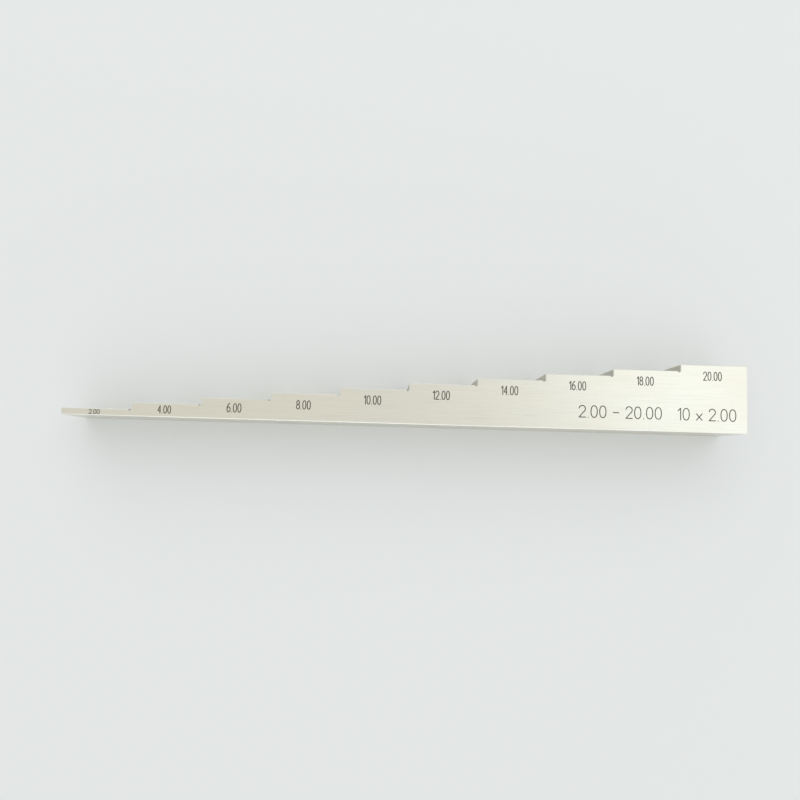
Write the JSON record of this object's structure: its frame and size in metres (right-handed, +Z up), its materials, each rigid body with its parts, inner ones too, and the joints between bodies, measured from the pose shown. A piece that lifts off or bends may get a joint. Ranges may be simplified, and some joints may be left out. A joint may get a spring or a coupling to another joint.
{
  "type": "step calibration block",
  "caption": "Ground steel bar with a flat base and a staircase of equal treads of known thickness, for checking thickness gauges, calipers and micrometers.",
  "frame": {"origin": "under the middle of the block's bounding box, on the surface that it lies on", "axes": "+X along the block from the thinnest step to the thickest, +Y from the datum face to the treads, +Z up out of the marked side face"},
  "size_m": [0.2, 0.02, 0.02],
  "materials": {
    "ground_steel": "fine ground plain steel, satin, with faint lines along the block"
  },
  "bodies": {
    "root": {"step_block": "ground_steel"}
  },
  "joints": []
}
